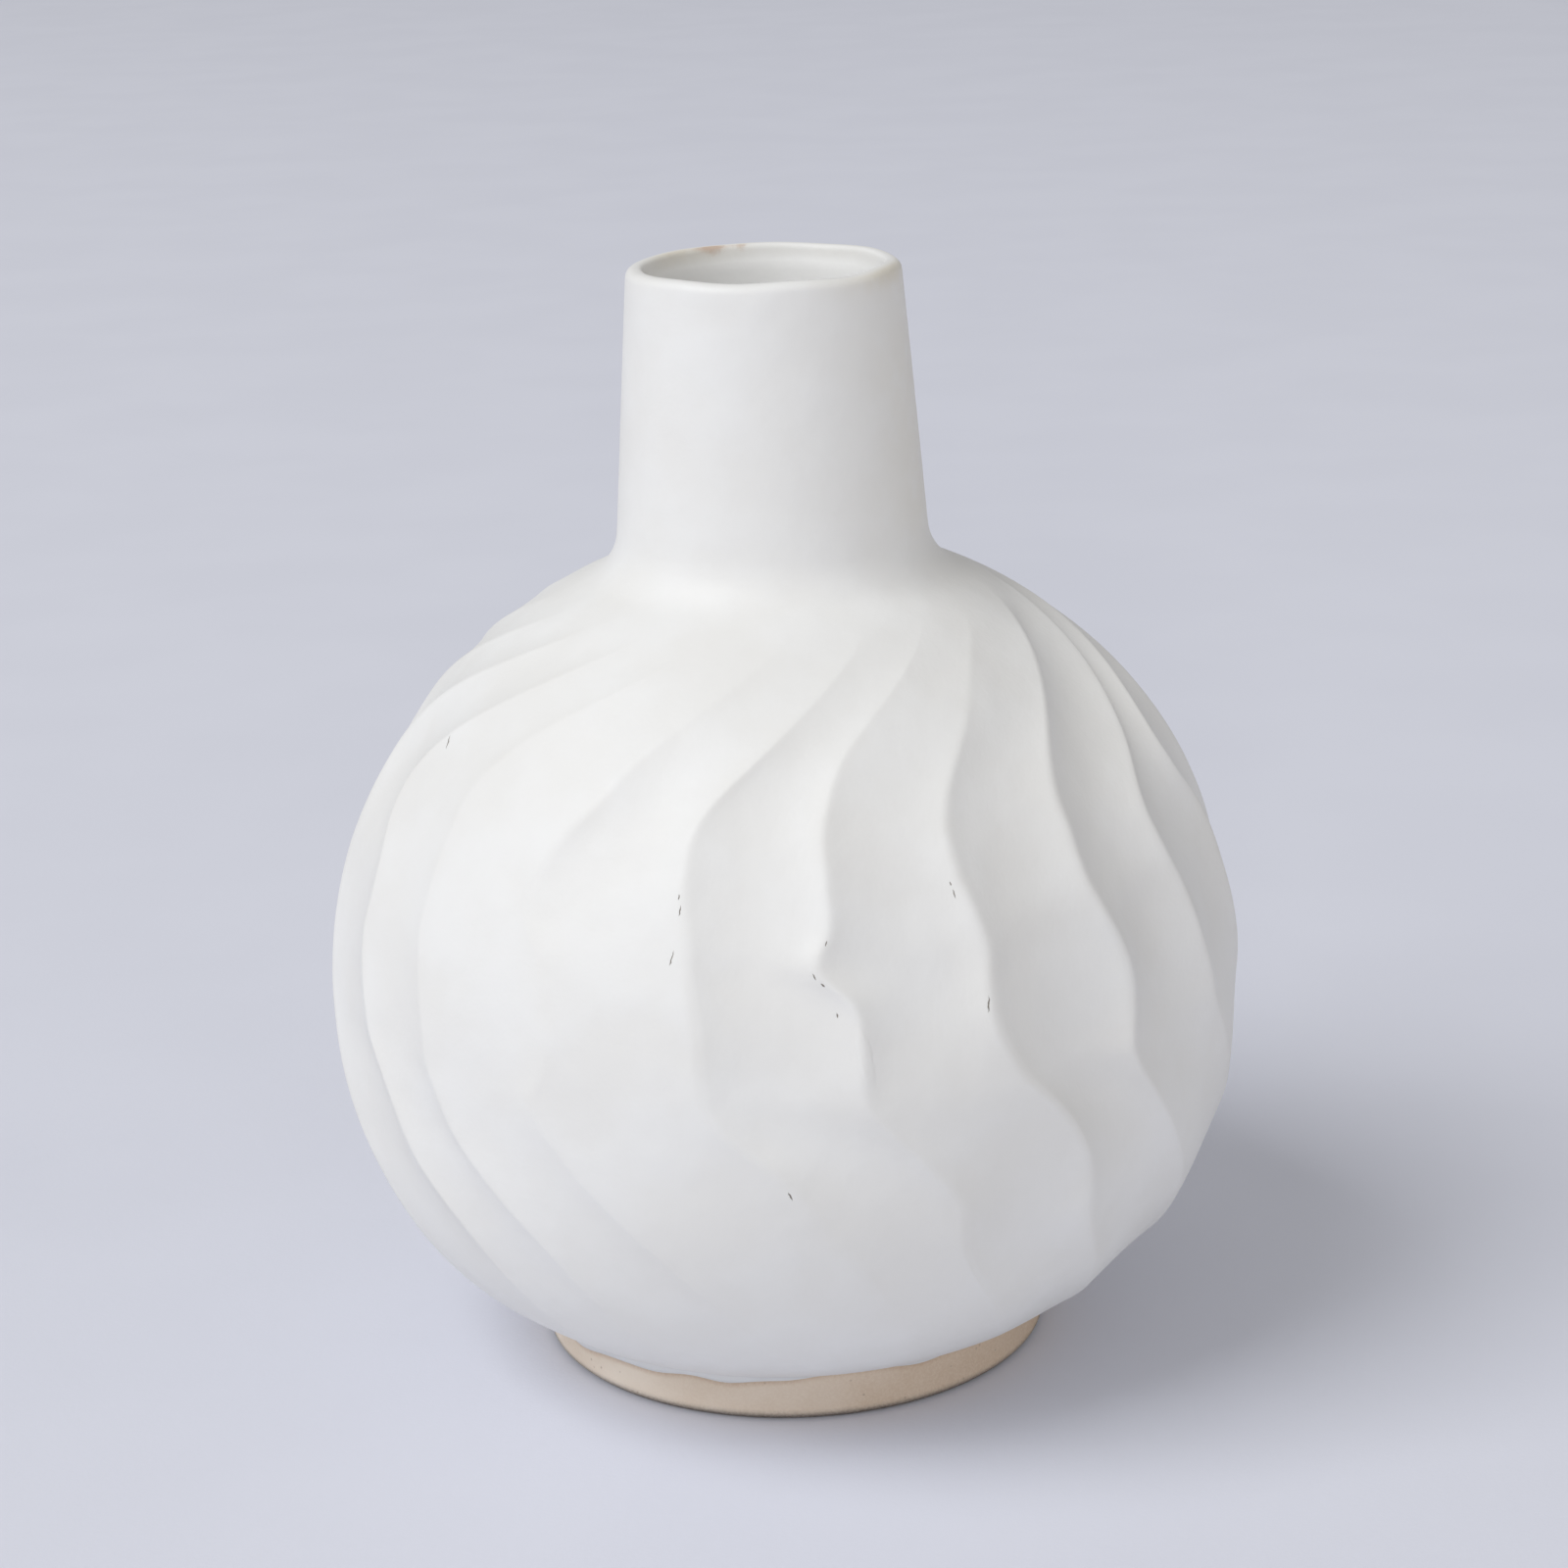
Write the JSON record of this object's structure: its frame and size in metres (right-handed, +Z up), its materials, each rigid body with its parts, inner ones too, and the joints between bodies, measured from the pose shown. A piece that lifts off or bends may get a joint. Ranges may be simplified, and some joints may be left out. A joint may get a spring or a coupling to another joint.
{
  "type": "bud vase",
  "caption": "Round-bodied ceramic bud vase with swirling carved flutes, a tapered cylindrical neck and a bare foot ring.",
  "frame": {"origin": "centre of the foot ring's resting face, on the surface that the vase stands on", "axes": "+Z up along the vase's axis, -Y towards the front, +X to the right"},
  "size_m": [0.1158, 0.1162, 0.14],
  "materials": {
    "bare_stoneware": "matt, fine grit",
    "white_glaze": "satin",
    "liner_glaze": "satin"
  },
  "bodies": {
    "root": {"globe": "bare_stoneware", "neck_collar": "bare_stoneware", "foot_ring": "bare_stoneware", "outer_glaze": "white_glaze", "liner_glaze": "liner_glaze"}
  },
  "joints": []
}
